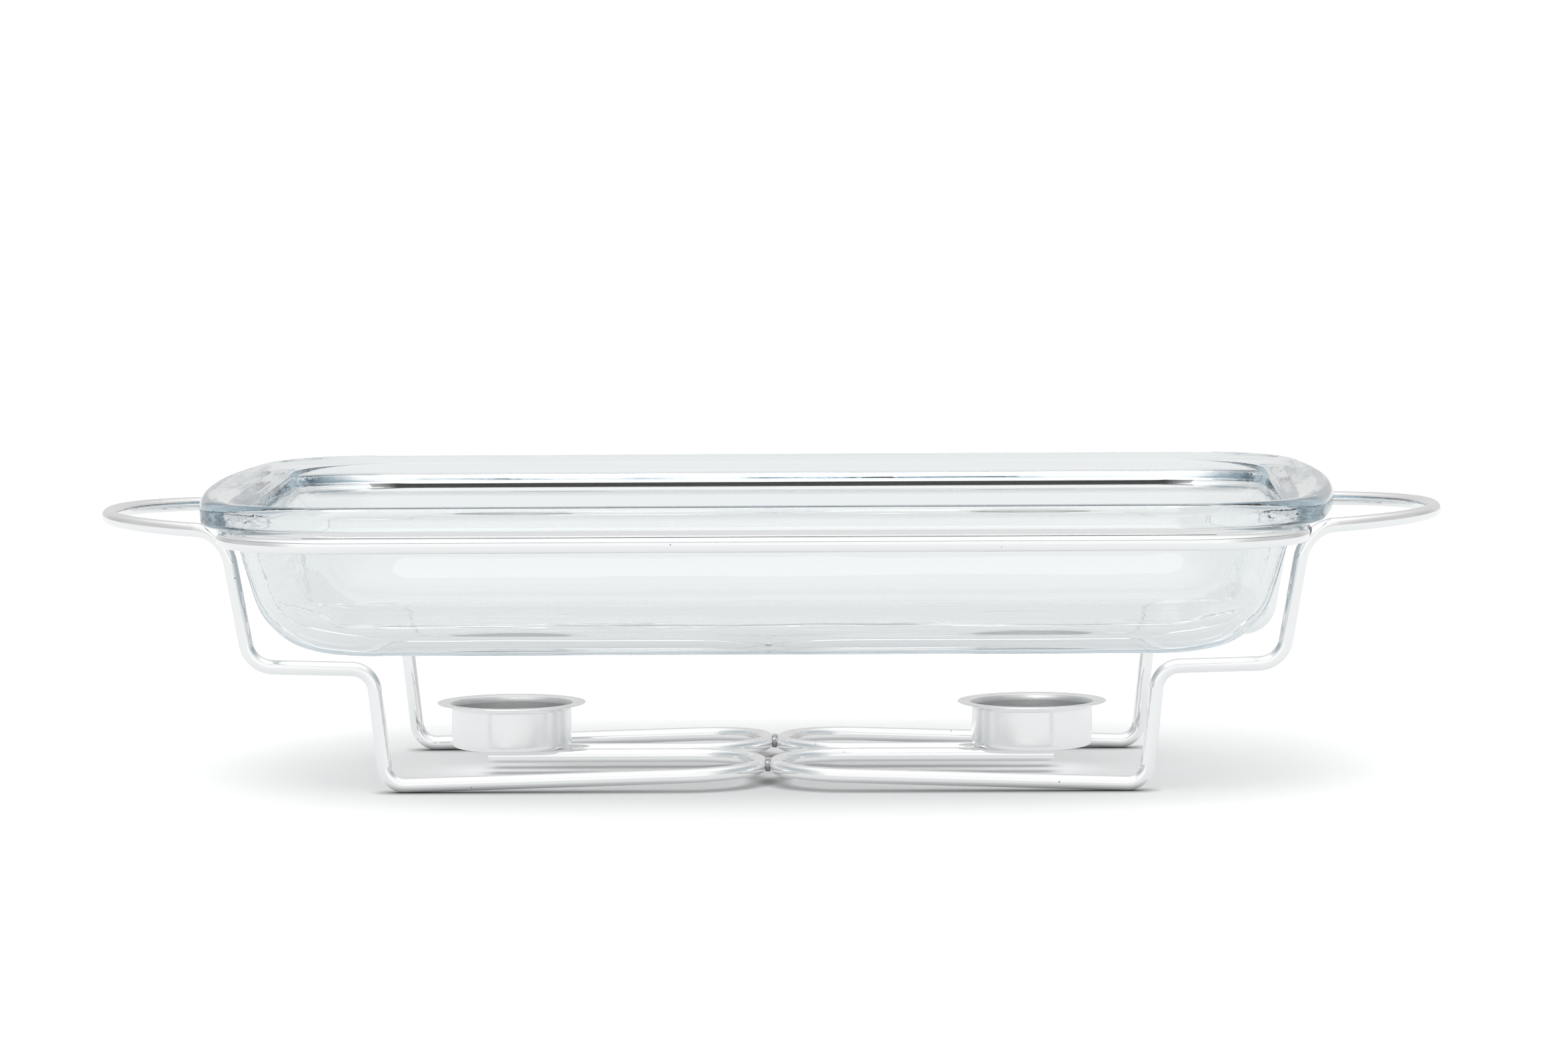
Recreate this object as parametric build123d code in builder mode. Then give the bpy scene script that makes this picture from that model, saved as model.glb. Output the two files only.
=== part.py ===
"""Candle food warmer: a glass baking dish resting in a bent wire stand with two tealight cups.

Millimetres. +X is to the right, the front is at -Y and the table is at Z 0.
"""

import os
from math import atan, cos, pi, radians, sin, sqrt, tan

from build123d import *

os.makedirs("parts", exist_ok=True)

# Wire and fits
wire_d = 5.0
weld_gap = 0.05
dish_seat_gap = 0.3
dish_rail_clearance = 0.6

# Glass dish
dish_height = 52.7
dish_wall = 4.6
dish_floor = 5.0
dish_draft = 16.5
dish_heel_r = 27.0
dish_floor_corner_r = 1.5

# Flange of the dish, its heights counted from the seat on the rail
rim_height = 10.3
rim_under_rise = 2.3
rim_shoulder_drop = 3.0
rim_overhang_x = 14.1
rim_overhang_y = 6.4
rim_end_r = 544.0
rim_corner_r = 47.0
rim_top_r = 3.6
rim_lower_r = 2.2
rim_crest_x = 6.0
rim_crest_y = 4.6
rim_crest_r = 4.0
shoulder_r = 3.0
seat_beyond_rail_x = 3.0
seat_beyond_rail_y = 1.6
seat_corner_r = 45.0
seat_edge_r = 3.0

# End wires: one rod per end, from a cut end under the cup, round a hairpin, out to the foot,
# up the stepped leg, round the handle and back the same way
leg_half_y = 61.2
stub_half_y = 8.0
stub_beyond_cup = 7.5
base_rise = 3.5
hairpin_flat = 2.0
foot_x = 127.9
lower_leg_splay = 4.4
shelf_z = 41.9
shelf_length = 41.3
shelf_rise = 1.0
dish_over_shelf = 3.3
upper_leg_splay = 8.0
handle_lean = 23.2
handle_climb = 1.8
handle_run = 0.5
handle_flat = 2.6
foot_r = 7.0
shelf_inner_r = 8.0
shelf_outer_r = 9.5
leg_top_r = 13.0

# Dish rail: one closed ring that lies in the crook of the four leg bends
rail_half_y = 118.0
rail_drop = 0.3
rail_corner_tighter = 5.0

# Tealight cups
cup_x = 90.1
cup_d = 41.5
cup_sheet = 0.6
cup_height = 15.45
cup_flange_w = 5.0
cup_base_r = 1.6
cup_flange_r = 1.8

# Weld beads
rail_weld_proud = 0.5
base_weld_inset = 0.3
base_weld_half_length = 4.5
cup_weld_inset = 0.3
cup_weld_half_length = 5.0

# Heights that follow from the sizes above
wire_r = wire_d / 2
draft = radians(dish_draft)
dish_depth = dish_height - rim_height
base_z = wire_r + base_rise
shelf_outer_z = shelf_z + shelf_rise
dish_bottom_z = shelf_outer_z + wire_r + dish_over_shelf
seat_z = dish_bottom_z + dish_depth
rail_z = seat_z - dish_seat_gap - wire_r
leg_top_z = rail_z + rail_drop

# Places along the end wire that follow from the sizes above
apex_x = wire_r + weld_gap / 2
stub_end_x = cup_x + stub_beyond_cup
shelf_inner_x = foot_x + lower_leg_splay
shelf_outer_x = shelf_inner_x + shelf_length
leg_top_x = shelf_outer_x + upper_leg_splay
hairpin_r = (leg_half_y - stub_half_y - hairpin_flat) / 2

# The handle leans in from the legs and closes in one wide bend, so its reach follows their spacing
lean = radians(handle_lean)
leg_way = Vector(upper_leg_splay, 0, leg_top_z - shelf_outer_z)
handle_way = Vector(cos(lean), sin(lean), tan(radians(handle_climb)))
leg_top_setback = leg_top_r * tan(radians(leg_way.get_angle(handle_way)) / 2)
handle_setback = leg_half_y - handle_flat / 2 - (leg_top_setback + handle_run) * sin(lean)
handle_setback /= 1 + sin(lean)
handle_side = leg_top_setback + handle_run + handle_setback
handle_tip_x = leg_top_x + handle_side * handle_way.X
handle_tip_z = leg_top_z + handle_side * handle_way.Z
handle_corner_y = leg_half_y - handle_side * handle_way.Y
handle_r = handle_setback / tan(radians(handle_way.get_angle(Vector(0, 1, 0))) / 2)

# The foot bend is set so that its lowest point just touches the table
foot_z = wire_r
for _ in range(8):
    base_slope = atan((base_z - foot_z) / (foot_x - apex_x))
    foot_turn = pi / 2 + base_slope - atan(lower_leg_splay / (shelf_z - foot_z))
    foot_z = wire_r + foot_r * (1 - cos(base_slope)) - foot_r * tan(foot_turn / 2) * sin(base_slope)

# Corners of the right end wire's centre line, front half
front_corners = [
    (stub_end_x, -stub_half_y, base_z),
    (apex_x, -stub_half_y, base_z),
    (apex_x, -leg_half_y, base_z),
    (foot_x, -leg_half_y, foot_z),
    (shelf_inner_x, -leg_half_y, shelf_z),
    (shelf_outer_x, -leg_half_y, shelf_outer_z),
    (leg_top_x, -leg_half_y, leg_top_z),
    (handle_tip_x, -handle_corner_y, handle_tip_z),
]
front_bends = [hairpin_r, hairpin_r, foot_r, shelf_inner_r, shelf_outer_r, leg_top_r, handle_r]
rear_corners = [(x, -y, z) for x, y, z in reversed(front_corners)]

# Right end wire
with BuildPart() as right_end_wire:
    with BuildLine() as right_path:
        FilletPolyline(*front_corners, *rear_corners, radius=front_bends + front_bends[::-1])
    with BuildSketch(Plane(origin=right_path.line @ 0, z_dir=right_path.line % 0)):
        Circle(wire_r)
    sweep(path=right_path.line)

# Left end wire
with BuildPart() as left_end_wire:
    add(right_end_wire.part.mirror(Plane.YZ))

# The rail's short side is moved out until it meets the leg bends
rail_half_x = leg_top_x - 3 * wire_d
for _ in range(40):
    rail_side = Edge.make_line((rail_half_x, -leg_half_y - wire_d, rail_z), (rail_half_x, 0, rail_z))
    rail_half_x += rail_side.distance_to(right_path.line) - wire_d - weld_gap

# Dish sizes that follow from the rail
wall_offset = (wire_r + dish_rail_clearance) / cos(draft) - (wire_r + dish_seat_gap) * tan(draft)
body_half_x = rail_half_x - wall_offset
body_half_y = rail_half_y - wall_offset
body_corner_r = dish_heel_r + dish_floor_corner_r + dish_depth * tan(draft)
rail_corner_r = body_corner_r - rail_corner_tighter
rim_top_z = seat_z + rim_height
rim_lower_z = seat_z + rim_under_rise
shoulder_z = rim_top_z - rim_shoulder_drop
shoulder_inset = dish_wall / cos(draft) - (shoulder_z - seat_z) * tan(draft)
shoulder_half_x = body_half_x - shoulder_inset
shoulder_half_y = body_half_y - shoulder_inset
shoulder_corner_r = body_corner_r - shoulder_inset
seat_half_x = rail_half_x + seat_beyond_rail_x
seat_half_y = rail_half_y + seat_beyond_rail_y
rim_half_x = rail_half_x + rim_overhang_x
rim_half_y = rail_half_y + rim_overhang_y
rim_under_x = rim_half_x - rim_lower_r
rim_under_y = rim_half_y - rim_lower_r
crest_half_x = rim_half_x - rim_crest_x
crest_half_y = rim_half_y - rim_crest_y


def rim_outline(half_x, half_y, inset):
    """Plan of the rim: straight long sides, bowed ends and round corners, drawn in by the inset."""
    end_r = rim_end_r - inset
    corner_x = half_x - end_r + sqrt(end_r**2 - half_y**2)
    with BuildSketch() as outline:
        with BuildLine():
            Line((-corner_x, -half_y), (corner_x, -half_y))
            ThreePointArc((corner_x, -half_y), (half_x, 0), (corner_x, half_y))
            Line((corner_x, half_y), (-corner_x, half_y))
            ThreePointArc((-corner_x, half_y), (-half_x, 0), (-corner_x, -half_y))
        make_face()
        fillet(outline.vertices(), radius=rim_corner_r - inset)
    return outline.sketch


rim_plan = rim_outline(rim_half_x, rim_half_y, 0)
rim_under_plan = rim_outline(rim_under_x, rim_under_y, rim_lower_r)
crest_plan = rim_outline(crest_half_x, crest_half_y, rim_crest_x)

# Dish rail
with BuildPart() as support_rail:
    with BuildLine() as rail_path:
        FilletPolyline(
            (-rail_half_x, -rail_half_y, rail_z),
            (rail_half_x, -rail_half_y, rail_z),
            (rail_half_x, rail_half_y, rail_z),
            (-rail_half_x, rail_half_y, rail_z),
            radius=rail_corner_r,
            close=True,
        )
    with BuildSketch(Plane(origin=rail_path.line @ 0, z_dir=rail_path.line % 0)):
        Circle(wire_r)
    sweep(path=rail_path.line)

# Tealight cup: a pressed shell with a rolled-out flange, standing on the two rod ends
cup_r = cup_d / 2
cup_bottom_z = base_z + wire_r + weld_gap
cup_top_z = cup_bottom_z + cup_height
with BuildPart() as cup_shell:
    with BuildSketch(Plane.XZ):
        with BuildLine():
            cup_outer = FilletPolyline(
                (0, cup_bottom_z),
                (cup_r, cup_bottom_z),
                (cup_r, cup_top_z - cup_sheet),
                (cup_r + cup_flange_w, cup_top_z - cup_sheet),
                radius=[cup_base_r, cup_flange_r],
            )
            cup_inner = FilletPolyline(
                (0, cup_bottom_z + cup_sheet),
                (cup_r - cup_sheet, cup_bottom_z + cup_sheet),
                (cup_r - cup_sheet, cup_top_z),
                (cup_r + cup_flange_w, cup_top_z),
                radius=[cup_base_r - cup_sheet, cup_flange_r + cup_sheet],
            )
            Line(cup_outer @ 0, cup_inner @ 0)
            Line(cup_outer @ 1, cup_inner @ 1)
        make_face()
    revolve(axis=Axis.Z)

with BuildPart() as right_candle_cup:
    with Locations((cup_x, 0, 0)):
        add(cup_shell.part)

with BuildPart() as left_candle_cup:
    with Locations((-cup_x, 0, 0)):
        add(cup_shell.part)

# Rim band of the dish, with rounded outer edges
with BuildPart() as rim_band:
    with BuildSketch(Plane.XY.offset(rim_lower_z)):
        add(rim_plan)
    extrude(amount=rim_top_z - rim_lower_z)
    fillet(rim_band.edges().group_by(Axis.Z)[-1], radius=rim_top_r)
    fillet(rim_band.edges().group_by(Axis.Z)[0], radius=rim_lower_r)

# Basin of the dish, parallel to the outside of the body
with BuildPart() as basin:
    with BuildSketch(Plane.XY.offset(shoulder_z)):
        RectangleRounded(2 * shoulder_half_x, 2 * shoulder_half_y, shoulder_corner_r)
    extrude(amount=-(shoulder_z - dish_bottom_z - dish_floor), taper=dish_draft)
    fillet(basin.edges().group_by(Axis.Z)[0], radius=dish_heel_r - dish_wall)

# Flange of the dish: flat on the rail, rising to the rim, rounded where it leaves the seat
with BuildPart() as flange:
    with BuildSketch(Plane.XY.offset(seat_z)):
        RectangleRounded(2 * seat_half_x, 2 * seat_half_y, seat_corner_r)
    with BuildSketch(Plane.XY.offset(rim_lower_z)):
        add(rim_under_plan)
    loft(ruled=True)
    fillet(flange.edges().group_by(Axis.Z)[0], radius=seat_edge_r)
    add(rim_band.part)

# Glass dish: the drafted body hangs inside the rail and the flange rests on it
with BuildPart() as glass_dish:
    with BuildSketch(Plane.XY.offset(seat_z)):
        RectangleRounded(2 * body_half_x, 2 * body_half_y, body_corner_r)
    extrude(amount=-dish_depth, taper=dish_draft)
    fillet(glass_dish.edges().group_by(Axis.Z)[0], radius=dish_heel_r)
    add(flange.part)
    add(basin.part, mode=Mode.SUBTRACT)
    # Top of the flange, sloping from the crest down to the basin
    with BuildSketch(Plane.XY.offset(shoulder_z)):
        RectangleRounded(2 * shoulder_half_x, 2 * shoulder_half_y, shoulder_corner_r)
    with BuildSketch(Plane.XY.offset(rim_top_z)):
        add(crest_plan)
    loft(ruled=True, mode=Mode.SUBTRACT)
    at_shoulder = glass_dish.edges().filter_by_position(Axis.Z, shoulder_z - 0.01, shoulder_z + 0.01)
    fillet(at_shoulder, radius=shoulder_r)
    top_face = glass_dish.faces().sort_by(Axis.Z)[-1]
    fillet(top_face.inner_wires()[0].edges(), radius=rim_crest_r)

# Rail welds: a bead where the rail crosses each leg bend
on_rail, on_bend = rail_side.closest_points(right_path.line)
with BuildPart() as front_right_rail_weld:
    with Locations((on_rail + on_bend) / 2):
        Sphere(wire_r + rail_weld_proud)
    add(support_rail.part, mode=Mode.SUBTRACT)
    add(right_end_wire.part, mode=Mode.SUBTRACT)

with BuildPart() as front_left_rail_weld:
    add(front_right_rail_weld.part.mirror(Plane.YZ))

with BuildPart() as rear_right_rail_weld:
    add(front_right_rail_weld.part.mirror(Plane.XZ))

with BuildPart() as rear_left_rail_weld:
    add(front_left_rail_weld.part.mirror(Plane.XZ))

# Base welds: the left and right hairpins are joined back to back
hairpin_y = (leg_half_y + stub_half_y) / 2
base_weld_r = wire_r - base_weld_inset
with BuildPart() as base_bead:
    with BuildSketch(Plane.XY):
        SlotOverall(2 * base_weld_half_length, 2 * base_weld_r, rotation=90)
        with Locations((-base_weld_r, 0)):
            Rectangle(2 * base_weld_r, 2 * base_weld_half_length, mode=Mode.SUBTRACT)
    revolve(axis=Axis.Y)

with BuildPart() as front_base_weld:
    with Locations((0, -hairpin_y, base_z)):
        add(base_bead.part)
    add(right_end_wire.part, mode=Mode.SUBTRACT)
    add(left_end_wire.part, mode=Mode.SUBTRACT)

with BuildPart() as rear_base_weld:
    add(front_base_weld.part.mirror(Plane.XZ))

# Cup welds: a bead between each rod end and the underside of the cup
cup_weld_r = wire_r - cup_weld_inset
with BuildPart() as cup_bead:
    with BuildSketch(Plane.XZ):
        SlotOverall(2 * cup_weld_half_length, 2 * cup_weld_r)
        with Locations((0, -cup_weld_r)):
            Rectangle(2 * cup_weld_half_length, 2 * cup_weld_r, mode=Mode.SUBTRACT)
    revolve(axis=Axis.X)
    split(bisect_by=Plane.XY, keep=Keep.BOTTOM)

with BuildPart() as right_cup_front_weld:
    with Locations((cup_x, -stub_half_y, cup_bottom_z)):
        add(cup_bead.part)
    add(right_end_wire.part, mode=Mode.SUBTRACT)

with BuildPart() as right_cup_rear_weld:
    add(right_cup_front_weld.part.mirror(Plane.XZ))

with BuildPart() as left_cup_front_weld:
    add(right_cup_front_weld.part.mirror(Plane.YZ))

with BuildPart() as left_cup_rear_weld:
    add(left_cup_front_weld.part.mirror(Plane.XZ))

pieces = {
    "glass_dish": glass_dish,
    "support_rail": support_rail,
    "left_end_wire": left_end_wire,
    "right_end_wire": right_end_wire,
    "left_candle_cup": left_candle_cup,
    "right_candle_cup": right_candle_cup,
    "front_left_rail_weld": front_left_rail_weld,
    "front_right_rail_weld": front_right_rail_weld,
    "rear_left_rail_weld": rear_left_rail_weld,
    "rear_right_rail_weld": rear_right_rail_weld,
    "front_base_weld": front_base_weld,
    "rear_base_weld": rear_base_weld,
    "left_cup_front_weld": left_cup_front_weld,
    "left_cup_rear_weld": left_cup_rear_weld,
    "right_cup_front_weld": right_cup_front_weld,
    "right_cup_rear_weld": right_cup_rear_weld,
}
for name, piece in pieces.items():
    piece.part.label = name
    export_step(piece.part, f"parts/{name}.step")
print("rail half length", round(rail_half_x, 3), "rail height", round(rail_z, 3))
print("wire lowest", round(right_end_wire.part.bounding_box().min.Z, 4))
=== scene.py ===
"""Looks of the candle food warmer: a clear glass dish in a chromed wire stand, on a white studio floor.

Metres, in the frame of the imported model: +X to the right, the front at -Y, the table at Z 0.
"""

from math import acos, atan2, ceil, cos, pi, radians, sin, sqrt, tan

import bpy
from mathutils import Matrix, Vector


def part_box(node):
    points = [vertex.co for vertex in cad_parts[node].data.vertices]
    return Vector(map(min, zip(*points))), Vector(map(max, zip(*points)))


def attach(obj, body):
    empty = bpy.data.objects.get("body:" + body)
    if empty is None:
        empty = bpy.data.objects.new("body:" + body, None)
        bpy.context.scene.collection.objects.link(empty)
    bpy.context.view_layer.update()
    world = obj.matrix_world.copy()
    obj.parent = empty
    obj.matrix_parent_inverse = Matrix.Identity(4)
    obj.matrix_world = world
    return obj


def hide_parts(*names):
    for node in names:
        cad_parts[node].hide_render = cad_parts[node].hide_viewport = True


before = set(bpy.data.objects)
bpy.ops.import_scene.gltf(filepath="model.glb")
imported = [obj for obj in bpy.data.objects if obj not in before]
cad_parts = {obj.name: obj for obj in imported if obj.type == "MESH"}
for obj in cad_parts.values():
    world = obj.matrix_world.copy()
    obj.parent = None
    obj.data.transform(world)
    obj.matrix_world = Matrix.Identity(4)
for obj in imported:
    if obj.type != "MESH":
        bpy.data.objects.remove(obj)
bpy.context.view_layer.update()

MM = 0.001

# Glass dish, in millimetres
WALL = 4.6
FLOOR = 5.0
DRAFT = 16.5
HEEL_R = 27.0
FLOOR_CORNER_R = 1.5
RIM_HEIGHT = 10.3
RIM_UNDER_RISE = 2.3
SHOULDER_DROP = 3.0
RIM_END_R = 544.0
RIM_CORNER_R = 47.0
RIM_TOP_R = 3.6
RIM_LOWER_R = 2.2
CREST_X = 6.0
CREST_Y = 4.6
CREST_R = 4.0
SHOULDER_R = 3.0
SEAT_X = 11.1
SEAT_Y = 4.8
SEAT_CORNER_R = 45.0
SEAT_EDGE_R = 3.0
SEAT_NOOK_R = 0.8
RAIL_TO_WALL = 0.6
SEAT_GAP = 0.3
WIRE_R = 2.5
RIM_OVER_RAIL_X = 14.1
RIM_OVER_RAIL_Y = 6.4

# Candle cups, in millimetres
CUP_SHEET = 0.6
CUP_FLANGE = 5.0
CUP_BASE_R = 1.6
CUP_FLANGE_R = 1.8
CUP_EDGE_UNDER_R = 0.2
CUP_EDGE_TOP_R = 0.25

# The camera that took the photograph
CAMERA_AT = (0.0753, -2.1430, 0.2624)
CAMERA_YAW = 1.883
CAMERA_PITCH = -4.706
CAMERA_ROLL = -0.420
CAMERA_LENS = 143.0
SENSOR_WIDTH = 36.0

# The studio: the world's light on matt surfaces, the soft key light, and how bright metal and glass see
# the room in front, at its sides, behind and, on top of these, overhead
ROOM_LIGHT = 0.85
SUN_LIGHT = 0.60
SUN_ANGLE = 40.0
SUN_TILT = (28.0, -12.0)
FRONT = 1.08
WINGS = 0.66
BACKDROP = 0.68
OVERHEAD = 0.12

# Where the front of the room passes into its sides, as the sideways part of a direction
SIDES_FROM = 0.45
SIDES_TO = 0.9

# The floor's own glow to the eye, in metal and through glass, and the reach in metres of its contact
# shadow, with the shadow's contrast to the eye and in metal
FLOOR_SIZE = 60.0
FLOOR_LIFT = 0.34
MIRRORED_FLOOR_LIFT = 0.78
SEEN_THROUGH_LIFT = 0.66
CONTACT_REACH = 0.006
CONTACT_CONTRAST = 1.5
MIRRORED_CONTACT_CONTRAST = 1.2

# How often light may turn: inside the thick rim, and between metal surfaces
GLASS_BOUNCES = 64
METAL_BOUNCES = 48


def linear(hex_colour):
    """Turns an sRGB hex colour into the linear colour that shaders use."""
    parts = [int(hex_colour[i : i + 2], 16) / 255 for i in (1, 3, 5)]
    return (*[c / 12.92 if c <= 0.04045 else ((c + 0.055) / 1.055) ** 2.4 for c in parts], 1.0)


def put(tree, kind, sockets=None, **settings):
    """Adds a node with its settings, and gives each named socket a value or a link."""
    made = tree.nodes.new(kind)
    for name, value in settings.items():
        setattr(made, name, value)
    for socket, value in (sockets or {}).items():
        if isinstance(value, bpy.types.NodeSocket):
            tree.links.new(value, made.inputs[socket])
        else:
            made.inputs[socket].default_value = value
    return made


def new_material(name):
    """An empty material and its node tree."""
    made = bpy.data.materials.new(name)
    made.use_nodes = True
    made.node_tree.nodes.clear()
    return made, made.node_tree


# Materials


def window(tree, value, low, high, blur):
    """1 where the value lies between low and high, falling to 0 over the blur on either side."""
    rise = put(tree, "ShaderNodeMapRange", {"Value": value, "From Min": low - blur, "From Max": low})
    fall = put(tree, "ShaderNodeMapRange", {"Value": value, "From Min": high, "From Max": high + blur,
                                            "To Min": 1.0, "To Max": 0.0})
    inside = put(tree, "ShaderNodeMath", {0: rise.outputs[0], 1: fall.outputs[0]}, operation="MULTIPLY")
    return inside.outputs[0]


def pressed_glass(seat_height):
    """Soda-lime glass, pressed in a mould: clear, with a faint cast that deepens to slate where the eye
    looks along the rim. The mould leaves slow ripples, drawn out along the sides and across the end
    flanges, and a dark line of painted shade lies in the nook where the long walls meet the rail."""
    made, tree = new_material("pressed_clear_glass")
    where = put(tree, "ShaderNodeTexCoord").outputs["Object"]
    place = put(tree, "ShaderNodeSeparateXYZ", {0: where})
    aside, forward = [put(tree, "ShaderNodeMath", {0: place.outputs[axis]}, operation="ABSOLUTE").outputs[0]
                      for axis in "XY"]
    # Ripples 90 by 12 mm along the sides, and 60 by 5 mm across the end flanges
    along = put(tree, "ShaderNodeMapping", {
        "Vector": where, "Scale": (1 / (90 * MM), 1 / (12 * MM), 1 / (12 * MM))})
    across = put(tree, "ShaderNodeMapping", {
        "Vector": where, "Scale": (1 / (5 * MM), 1 / (60 * MM), 1 / (8 * MM))})
    long_ripple = put(tree, "ShaderNodeTexNoise", {"Vector": along.outputs[0], "Scale": 1.0, "Detail": 2.0})
    end_ripple = put(tree, "ShaderNodeTexNoise", {"Vector": across.outputs[0], "Scale": 1.0, "Detail": 3.0})
    at_end = put(tree, "ShaderNodeMapRange", {"Value": aside, "From Min": 150 * MM, "From Max": 172 * MM})
    ripple = put(tree, "ShaderNodeMix", {"Factor": at_end.outputs[0], "A": long_ripple.outputs["Fac"],
                                         "B": end_ripple.outputs["Fac"]}, data_type="FLOAT")
    depth = put(tree, "ShaderNodeMapRange", {"Value": at_end.outputs[0], "To Min": 0.16, "To Max": 0.45})
    skin = put(tree, "ShaderNodeBump", {"Height": ripple.outputs[0], "Strength": depth.outputs[0],
                                        "Distance": 0.5 * MM})
    smudge = put(tree, "ShaderNodeTexNoise", {"Vector": where, "Scale": 1 / (60 * MM), "Detail": 3.0})
    haze = put(tree, "ShaderNodeMapRange", {
        "Value": smudge.outputs["Fac"], "From Min": 0.55, "From Max": 0.8, "To Min": 0.0, "To Max": 0.03})
    glass = put(tree, "ShaderNodeBsdfPrincipled", {
        "Base Color": linear("#FDFEFE"), "Roughness": haze.outputs["Result"], "IOR": 1.5,
        "Transmission Weight": 1.0, "Normal": skin.outputs["Normal"]})
    # Painted shade, standing in for the shadow where the wall meets the rail: a dark line 1.2 mm high, just
    # under the seat, on the long walls only, and fading out to the corners
    under_seat = window(tree, place.outputs["Z"], seat_height - 1.3 * MM, seat_height - 0.1 * MM, 0.1 * MM)
    flank = window(tree, forward, 113.0 * MM, 115.6 * MM, 0.1 * MM)
    middle = window(tree, aside, -100 * MM, 140 * MM, 22 * MM)
    nook = put(tree, "ShaderNodeMath", {0: under_seat, 1: flank}, operation="MULTIPLY")
    painted_shade_mask = put(tree, "ShaderNodeMath", {0: nook.outputs[0], 1: middle}, operation="MULTIPLY")
    # The painted shade itself: a near-black matt skin that takes the place of the glass along that line
    painted_nook_shade = put(tree, "ShaderNodeBsdfPrincipled", {"Base Color": linear("#1C1E20"), "Roughness": 0.6})
    skin_and_line = put(tree, "ShaderNodeMixShader", {0: painted_shade_mask.outputs[0], 1: glass.outputs["BSDF"],
                                                      2: painted_nook_shade.outputs["BSDF"]})
    # Takes red out over the length of the rim, and next to nothing through a wall
    tint = put(tree, "ShaderNodeVolumeAbsorption", {"Color": (0.20, 0.45, 0.58, 1.0), "Density": 2.2})
    put(tree, "ShaderNodeOutputMaterial", {
        "Surface": skin_and_line.outputs[0], "Volume": tint.outputs["Volume"]})
    return made


def chrome_plate(name, tone, gloss_low, gloss_high, ripple_mm, ripple_depth):
    """Bright chrome plate over steel: near-white mirror with soft wiping marks and a few small pits
    where the plating caught dust."""
    made, tree = new_material(name)
    where = put(tree, "ShaderNodeTexCoord").outputs["Object"]
    wiped = put(tree, "ShaderNodeTexNoise", {"Vector": where, "Scale": 1 / (12 * MM), "Detail": 4.0})
    gloss = put(tree, "ShaderNodeMapRange", {
        "Value": wiped.outputs["Fac"], "From Min": 0.35, "From Max": 0.7, "To Min": gloss_low,
        "To Max": gloss_high})
    # One point in each 9 mm of space, which is a pit where it happens to lie within 0.3 mm of the skin
    specks = put(tree, "ShaderNodeTexVoronoi", {"Vector": where, "Scale": 1 / (9 * MM), "Randomness": 1.0})
    pit = put(tree, "ShaderNodeMapRange", {"Value": specks.outputs["Distance"], "From Min": 0.018,
                                           "From Max": 0.034, "To Min": 0.0, "To Max": 1.0})
    colour = put(tree, "ShaderNodeMix", {"Factor": pit.outputs["Result"], "A": linear("#6E6C69"),
                                         "B": linear(tone)}, data_type="RGBA")
    waves = put(tree, "ShaderNodeTexNoise", {"Vector": where, "Scale": 1 / (ripple_mm * MM), "Detail": 2.0})
    skin = put(tree, "ShaderNodeBump", {"Height": waves.outputs["Fac"], "Strength": ripple_depth,
                                        "Distance": 0.2 * MM})
    metal = put(tree, "ShaderNodeBsdfPrincipled", {
        "Base Color": colour.outputs[2], "Metallic": 1.0, "Roughness": gloss.outputs["Result"],
        "Normal": skin.outputs["Normal"]})
    put(tree, "ShaderNodeOutputMaterial", {"Surface": metal.outputs["BSDF"]})
    return made


# Meshes


def rounded_ring(half_x, half_y, corner_r, bow, z):
    """Points of one rounded rectangle, anticlockwise and as many on every level. Its short sides swell
    outward by the bow, counted between their middle and their unrounded corner."""
    corner_steps, long_steps, end_steps = 28, 20, 14
    if bow > 0.001:
        end_r = (half_y**2 + bow**2) / (2 * bow)
        end_x = half_x - end_r
        middle_y = half_y - corner_r
        middle_x = end_x + sqrt((end_r - corner_r) ** 2 - middle_y**2)
        first = atan2(middle_y, middle_x - end_x)
        end = [(end_x + end_r * cos(first * i / end_steps), end_r * sin(first * i / end_steps))
               for i in range(end_steps)]
    else:
        middle_x, middle_y, first = half_x - corner_r, half_y - corner_r, 0.0
        end = [(half_x, middle_y * i / end_steps) for i in range(end_steps)]
    turn = pi / 2 - first
    corner = [(middle_x + corner_r * cos(first + turn * i / corner_steps),
               middle_y + corner_r * sin(first + turn * i / corner_steps)) for i in range(corner_steps)]
    side = [(middle_x * (1 - i / long_steps), half_y) for i in range(long_steps + 1)]
    quarter = end + corner + side
    half = quarter + [(-x, y) for x, y in reversed(quarter[:-1])]
    return [(x, y, z) for x, y in half + [(x, -y) for x, y in reversed(half[1:-1])]]


def soften(corners, step_mm):
    """Rounds the corners of a profile and divides its straights. A corner is (values, radius), and the
    first and last value of each are measured across and up."""
    levels = []

    def span(a, b):
        return ((a[0] - b[0]) ** 2 + (a[-1] - b[-1]) ** 2) ** 0.5

    for before, here, after in zip(corners, corners[1:], corners[2:]):
        point, radius = Vector(here[0]), here[1]
        back = (Vector(before[0]) - point) / span(before[0], here[0])
        on = (Vector(after[0]) - point) / span(after[0], here[0])
        turn = pi - acos(back[0] * on[0] + back[-1] * on[-1])
        setback = radius * tan(turn / 2)
        start, end = point + back * setback, point + on * setback
        steps = max(4, ceil(turn / radians(4)))
        weight = cos(turn / 2)
        for step in range(steps + 1):
            t = step / steps
            shares = ((1 - t) ** 2, 2 * t * (1 - t) * weight, t * t)
            levels.append((start * shares[0] + point * shares[1] + end * shares[2]) / sum(shares))
    levels = [Vector(corners[0][0])] + levels + [Vector(corners[-1][0])]
    divided = [levels[0]]
    for low, high in zip(levels, levels[1:]):
        steps = max(1, round(span(low, high) / step_mm))
        divided += [low.lerp(high, step / steps) for step in range(1, steps + 1)]
    return divided


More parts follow.
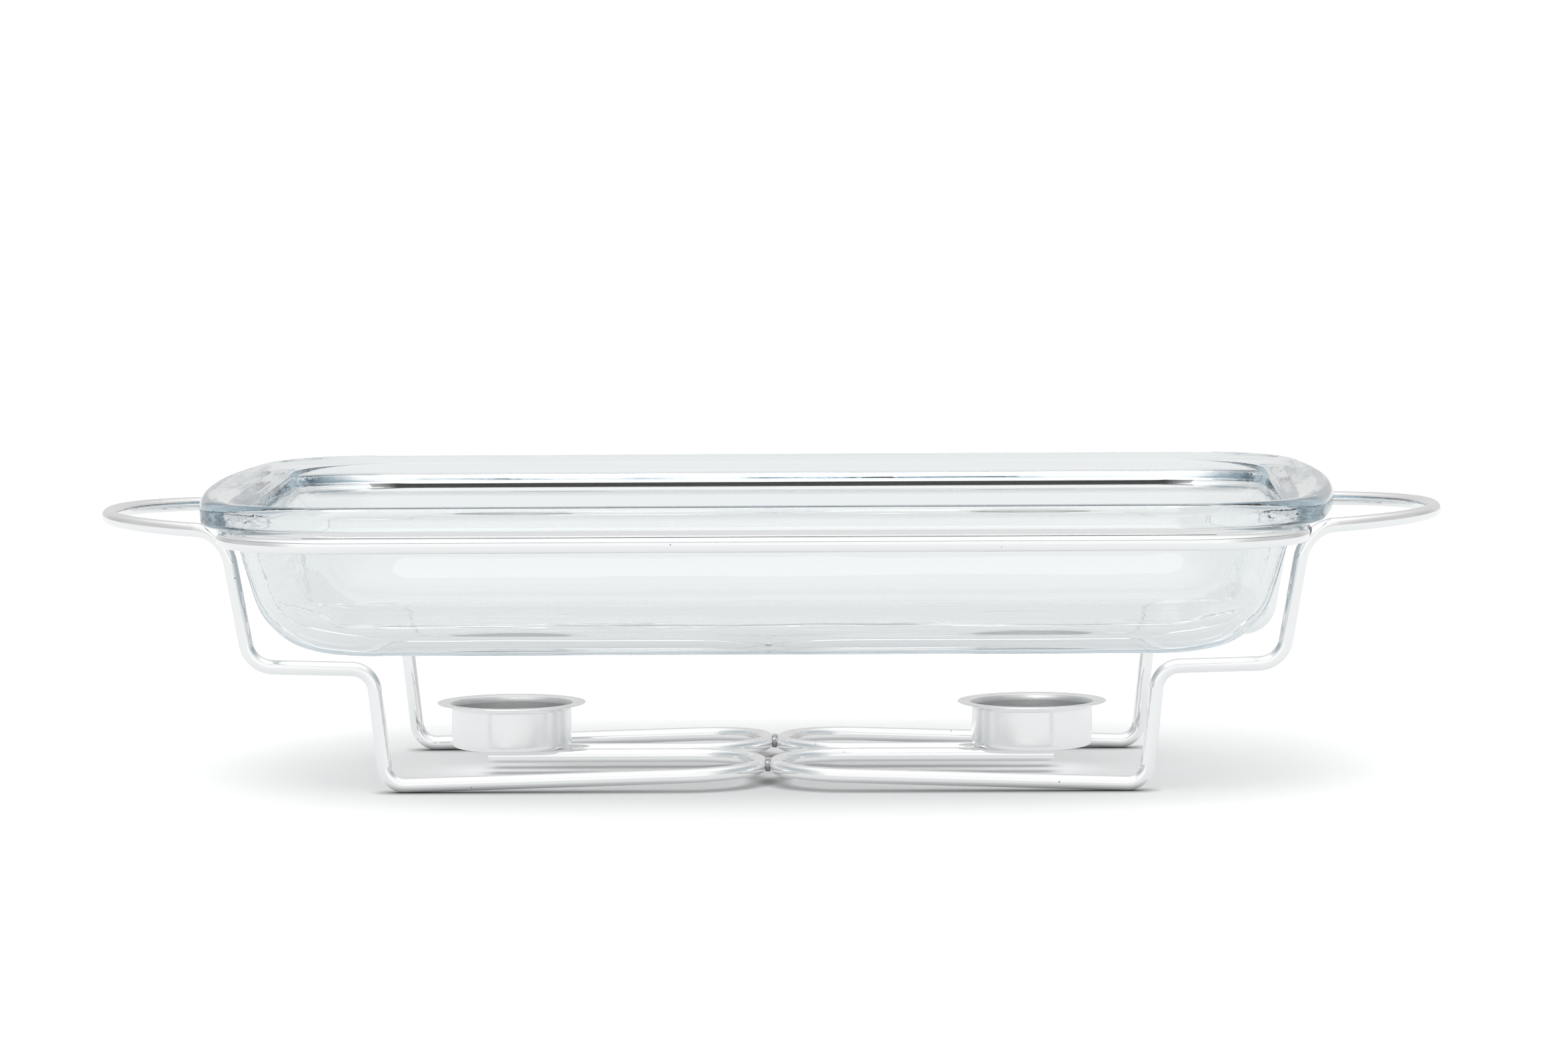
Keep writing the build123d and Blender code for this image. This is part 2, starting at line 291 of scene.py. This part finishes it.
def skin_mesh(name, rings, cap_start, cap_end):
    """One smooth mesh through closed rings of equal count."""
    count = len(rings[0])
    faces = []
    for level in range(len(rings) - 1):
        for i in range(count):
            j = (i + 1) % count
            here, above = level * count, (level + 1) * count
            faces.append((here + i, here + j, above + j, above + i))
    if cap_start:
        faces.append(tuple(reversed(range(count))))
    if cap_end:
        faces.append(tuple(range((len(rings) - 1) * count, len(rings) * count)))
    mesh = bpy.data.meshes.new(name)
    mesh.from_pydata([point for ring in rings for point in ring], [], faces)
    mesh.polygons.foreach_set("use_smooth", [True] * len(mesh.polygons))
    mesh.validate()
    piece = bpy.data.objects.new(name, mesh)
    bpy.context.scene.collection.objects.link(piece)
    return piece


def glass_dish(material):
    """The pressed dish: one closed skin, from the middle of its underside over the rim to the middle of
    its floor, through the sizes of the CAD solid."""
    low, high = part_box("glass_dish")
    rim_x, rim_y = high.x / MM, high.y / MM
    top, bottom = high.z / MM, low.z / MM
    slope, lean = tan(radians(DRAFT)), radians(DRAFT)
    seat = top - RIM_HEIGHT
    depth = seat - bottom
    body_inset = (WIRE_R + RAIL_TO_WALL) / cos(lean) - (WIRE_R + SEAT_GAP) * slope
    body_x = rim_x - RIM_OVER_RAIL_X - body_inset
    body_y = rim_y - RIM_OVER_RAIL_Y - body_inset
    body_r = HEEL_R + FLOOR_CORNER_R + depth * slope
    shoulder = top - SHOULDER_DROP
    inset = WALL / cos(lean) - (shoulder - seat) * slope
    inner_x, inner_y, inner_r = body_x - inset, body_y - inset, body_r - inset
    inner_floor = bottom + FLOOR
    sunk = (shoulder - inner_floor) * slope
    # How far in from the wall's foot the polygons begin that close the bottom and the floor
    flat = 40.0

    def level(half_x, half_y, corner_r, z, radius=0.0, end_r=None):
        bow = end_r - sqrt(end_r**2 - half_y**2) if end_r else 0.0
        return ((half_x, half_y, corner_r, bow, z), radius)

    drawn_in = depth * slope
    corners = [
        level(body_x - drawn_in - flat, body_y - drawn_in - flat, 1.0, bottom),
        level(body_x - drawn_in, body_y - drawn_in, body_r - drawn_in, bottom, HEEL_R),
        level(body_x, body_y, body_r, seat, SEAT_NOOK_R),
        level(rim_x - SEAT_X, rim_y - SEAT_Y, SEAT_CORNER_R, seat, SEAT_EDGE_R),
        level(rim_x, rim_y, RIM_CORNER_R, seat + RIM_UNDER_RISE, RIM_LOWER_R, RIM_END_R),
        level(rim_x, rim_y, RIM_CORNER_R, top, RIM_TOP_R, RIM_END_R),
        level(rim_x - CREST_X, rim_y - CREST_Y, RIM_CORNER_R - CREST_X, top, CREST_R, RIM_END_R - CREST_X),
        level(inner_x, inner_y, inner_r, shoulder, SHOULDER_R),
        level(inner_x - sunk, inner_y - sunk, inner_r - sunk, inner_floor, HEEL_R - WALL),
        level(inner_x - sunk - flat, inner_y - sunk - flat, 1.0, inner_floor),
    ]
    levels = soften(corners, step_mm=3.0)
    rings = [[Vector(p) * MM for p in rounded_ring(*values)] for values in levels]
    piece = skin_mesh("pressed_glass_dish", rings, True, True)
    piece.data.materials.append(material)
    return piece


def turned_shell(name, middle, profile, steps):
    """A thin shell turned round an upright axis at middle, through a closed profile of (radius, height)."""
    rings = []
    for radius, height in profile:
        spokes = [2 * pi * i / steps for i in range(steps)]
        rings.append([(middle[0] + radius * MM * cos(turn), middle[1] + radius * MM * sin(turn), height * MM)
                      for turn in spokes])
    return skin_mesh(name, rings, True, True)


def candle_cup(node, name, material, lining):
    """A pressed steel cup with a turned-out flange, plated bright outside and left matt inside."""
    low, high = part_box(node)
    middle = (low + high) / 2
    outer = (high.x - low.x) / 2 / MM
    wall = outer - CUP_FLANGE
    bottom, top = low.z / MM, high.z / MM
    corners = [
        ((1.0, bottom), 0.0),
        ((wall, bottom), CUP_BASE_R),
        ((wall, top - CUP_SHEET), CUP_FLANGE_R),
        ((outer, top - CUP_SHEET), CUP_EDGE_UNDER_R),
        ((outer, top), CUP_EDGE_TOP_R),
        ((wall - CUP_SHEET, top), CUP_FLANGE_R + CUP_SHEET),
        ((wall - CUP_SHEET, bottom + CUP_SHEET), CUP_BASE_R - CUP_SHEET),
        ((1.0, bottom + CUP_SHEET), 0.0),
    ]
    profile = [tuple(p) for p in soften(corners, step_mm=1.5)]
    piece = turned_shell(name, middle, profile, steps=96)
    piece.data.materials.append(material)
    piece.data.materials.append(lining)
    # The lining covers the faces that look up or towards the axis, as far as the bend of the flange
    for face in piece.data.polygons:
        spoke = (face.center - middle).to_2d()
        inward = spoke.normalized().dot(face.normal.to_2d()) < -0.3 or face.normal.z > 0.5
        face.material_index = 1 if inward and spoke.length < (wall + 0.4) * MM else 0
    return piece


# Studio


def seen_directly(tree):
    """1 for what the eye sees straight, in a mirror or through glass, and 0 for light on matt surfaces."""
    path = put(tree, "ShaderNodeLightPath")
    eye = put(tree, "ShaderNodeMath", {0: path.outputs["Is Camera Ray"], 1: path.outputs["Is Glossy Ray"]},
              operation="MAXIMUM")
    both = put(tree, "ShaderNodeMath", {0: eye.outputs[0], 1: path.outputs["Is Transmission Ray"]},
               operation="MAXIMUM")
    first = put(tree, "ShaderNodeMath", {0: path.outputs["Diffuse Depth"], 1: 0.5}, operation="LESS_THAN")
    straight = put(tree, "ShaderNodeMath", {0: both.outputs[0], 1: first.outputs[0]}, operation="MULTIPLY")
    return straight.outputs[0]


def white_floor():
    """White paper under the object. Its own faint glow keeps it white to the eye, so that only the
    object's shadow is left, and it darkens where a wire comes close to it, to the eye and in metal."""
    made, tree = new_material("white_studio_floor")
    path = put(tree, "ShaderNodeLightPath")
    eye = path.outputs["Is Camera Ray"]
    nook = put(tree, "ShaderNodeAmbientOcclusion", {"Distance": CONTACT_REACH}, samples=16)
    shaded = put(tree, "ShaderNodeMath", {0: nook.outputs["AO"], 1: CONTACT_CONTRAST}, operation="POWER")
    shade = put(tree, "ShaderNodeMix", {"Factor": shaded.outputs[0], "A": linear("#1E1E1E"),
                                        "B": linear("#FAFAFA")}, data_type="RGBA")
    colour = put(tree, "ShaderNodeMix", {"Factor": eye, "A": linear("#848484"), "B": shade.outputs[2]},
                 data_type="RGBA")
    shaded_less = put(tree, "ShaderNodeMath", {0: nook.outputs["AO"], 1: MIRRORED_CONTACT_CONTRAST},
                      operation="POWER")
    in_metal = put(tree, "ShaderNodeMath", {0: shaded_less.outputs[0], 1: MIRRORED_FLOOR_LIFT},
                   operation="MULTIPLY")
    indirect = put(tree, "ShaderNodeMix", {
        "Factor": path.outputs["Is Transmission Ray"], "A": in_metal.outputs[0], "B": SEEN_THROUGH_LIFT},
        data_type="FLOAT")
    direct = put(tree, "ShaderNodeMath", {0: shaded.outputs[0], 1: FLOOR_LIFT}, operation="MULTIPLY")
    lift = put(tree, "ShaderNodeMix", {"Factor": eye, "A": indirect.outputs[0], "B": direct.outputs[0]},
               data_type="FLOAT")
    paper = put(tree, "ShaderNodeBsdfDiffuse", {"Color": colour.outputs[2]})
    glow = put(tree, "ShaderNodeEmission", {"Color": linear("#F8FBFC"), "Strength": lift.outputs[0]})
    both = put(tree, "ShaderNodeAddShader", {0: paper.outputs[0], 1: glow.outputs[0]})
    put(tree, "ShaderNodeOutputMaterial", {"Surface": both.outputs[0]})
    return made


def studio():
    """Floor, light and camera."""
    scene = bpy.context.scene
    half = FLOOR_SIZE / 2
    mesh = bpy.data.meshes.new("studio_floor")
    mesh.from_pydata([(-half, -half, 0), (half, -half, 0), (half, half, 0), (-half, half, 0)], [],
                     [(0, 1, 2, 3)])
    floor = bpy.data.objects.new("studio_floor", mesh)
    scene.collection.objects.link(floor)
    mesh.materials.append(white_floor())

    world = bpy.data.worlds.new("studio")
    scene.world = world
    world.use_nodes = True
    tree = world.node_tree
    tree.nodes.clear()
    seen = seen_directly(tree)
    path = put(tree, "ShaderNodeLightPath")
    # X, Y and Z are those of the unit vector towards what is seen, and Y is 1 straight behind the object
    way = put(tree, "ShaderNodeSeparateXYZ", {0: put(tree, "ShaderNodeTexCoord").outputs["Generated"]})
    aside = put(tree, "ShaderNodeMath", {0: way.outputs["X"]}, operation="ABSOLUTE")
    wings = put(tree, "ShaderNodeMapRange", {
        "Value": aside.outputs[0], "From Min": SIDES_FROM, "From Max": SIDES_TO, "To Min": FRONT,
        "To Max": WINGS}, interpolation_type="SMOOTHSTEP")
    above = put(tree, "ShaderNodeMapRange", {
        "Value": way.outputs["Z"], "From Min": 0.78, "From Max": 0.94, "To Min": 0.0, "To Max": OVERHEAD},
        interpolation_type="SMOOTHSTEP")
    behind = put(tree, "ShaderNodeMapRange", {
        "Value": way.outputs["Y"], "From Min": 0.25, "From Max": 0.85, "To Min": 1.0, "To Max": BACKDROP},
        interpolation_type="SMOOTHSTEP")
    around = put(tree, "ShaderNodeMath", {0: wings.outputs[0], 1: behind.outputs[0]}, operation="MULTIPLY")
    room = put(tree, "ShaderNodeMath", {0: around.outputs[0], 1: above.outputs[0]}, operation="ADD")
    # White to the eye itself, and no light on the floor from the room by way of the chrome
    mirrored = put(tree, "ShaderNodeMix", {"Factor": path.outputs["Is Camera Ray"], "A": room.outputs[0],
                                           "B": 1.0}, data_type="FLOAT")
    thrown = put(tree, "ShaderNodeMath", {0: 1.0, 1: path.outputs["Is Glossy Ray"]}, operation="SUBTRACT")
    plain = put(tree, "ShaderNodeMath", {0: thrown.outputs[0], 1: ROOM_LIGHT}, operation="MULTIPLY")
    power = put(tree, "ShaderNodeMix", {"Factor": seen, "A": plain.outputs[0], "B": mirrored.outputs[0]},
                data_type="FLOAT")
    # Cool edges: what the glass bends in from the sides of the room is a touch bluer
    edge = put(tree, "ShaderNodeMapRange", {
        "Value": aside.outputs[0], "From Min": SIDES_FROM, "From Max": SIDES_TO})
    through = put(tree, "ShaderNodeMath", {0: edge.outputs[0], 1: path.outputs["Is Transmission Ray"]},
                  operation="MULTIPLY")
    cast = put(tree, "ShaderNodeMix", {"Factor": through.outputs[0], "A": linear("#FFFFFF"),
                                       "B": linear("#CFDDE6")}, data_type="RGBA")
    sky = put(tree, "ShaderNodeBackground", {"Color": cast.outputs[2], "Strength": power.outputs[0]})
    put(tree, "ShaderNodeOutputWorld", {"Surface": sky.outputs[0]})

    sun_data = bpy.data.lights.new("soft_key", "SUN")
    sun_data.energy = SUN_LIGHT
    sun_data.angle = radians(SUN_ANGLE)
    sun = bpy.data.objects.new("soft_key", sun_data)
    sun.rotation_euler = (radians(SUN_TILT[0]), radians(SUN_TILT[1]), 0)
    sun.visible_glossy = False
    scene.collection.objects.link(sun)

    lens = bpy.data.cameras.new("photo_camera")
    lens.lens = CAMERA_LENS
    lens.sensor_width = SENSOR_WIDTH
    lens.clip_start, lens.clip_end = 0.05, 200.0
    camera = bpy.data.objects.new("photo_camera", lens)
    camera.matrix_world = (
        Matrix.Translation(CAMERA_AT)
        @ Matrix.Rotation(radians(CAMERA_YAW), 4, "Z")
        @ Matrix.Rotation(radians(90 + CAMERA_PITCH), 4, "X")
        @ Matrix.Rotation(radians(CAMERA_ROLL), 4, "Z")
    )
    scene.collection.objects.link(camera)
    scene.camera = camera
    scene.view_settings.view_transform = "Standard"
    # Light that is caught in the thick rim is turned back many times before it gets out
    scene.cycles.max_bounces = GLASS_BOUNCES
    scene.cycles.glossy_bounces = METAL_BOUNCES
    scene.cycles.transmission_bounces = GLASS_BOUNCES


# The object

seat_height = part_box("glass_dish")[1].z - RIM_HEIGHT * MM
clear_glass = pressed_glass(seat_height)
# The rods are a bright mirror, the pressed cups a softer one and pale matt inside, the beads duller. The
# numbers are the least and most roughness, the ripples' length in millimetres and their depth
wire_chrome = chrome_plate("chromed_steel_wire", "#F2F2F2", 0.03, 0.09, 4.0, 0.05)
cup_chrome = chrome_plate("chromed_pressed_cup", "#F2F2F2", 0.18, 0.27, 3.0, 0.05)
cup_lining = chrome_plate("matt_plated_cup_lining", "#DADADA", 0.38, 0.55, 0.5, 0.50)
weld_chrome = chrome_plate("chromed_weld_bead", "#A4A5A8", 0.05, 0.14, 1.0, 0.20)

dish = glass_dish(clear_glass)
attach(dish, "dish")
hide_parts("glass_dish")

for side in ("left", "right"):
    cup = candle_cup(f"{side}_candle_cup", f"{side}_pressed_cup", cup_chrome, cup_lining)
    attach(cup, "stand")
    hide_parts(f"{side}_candle_cup")

for name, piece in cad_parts.items():
    piece.data.materials.clear()
    if name.endswith("_weld"):
        piece.data.materials.append(weld_chrome)
    elif name.endswith("_cup"):
        piece.data.materials.append(cup_chrome)
    elif name == "glass_dish":
        piece.data.materials.append(clear_glass)
    else:
        piece.data.materials.append(wire_chrome)

studio()
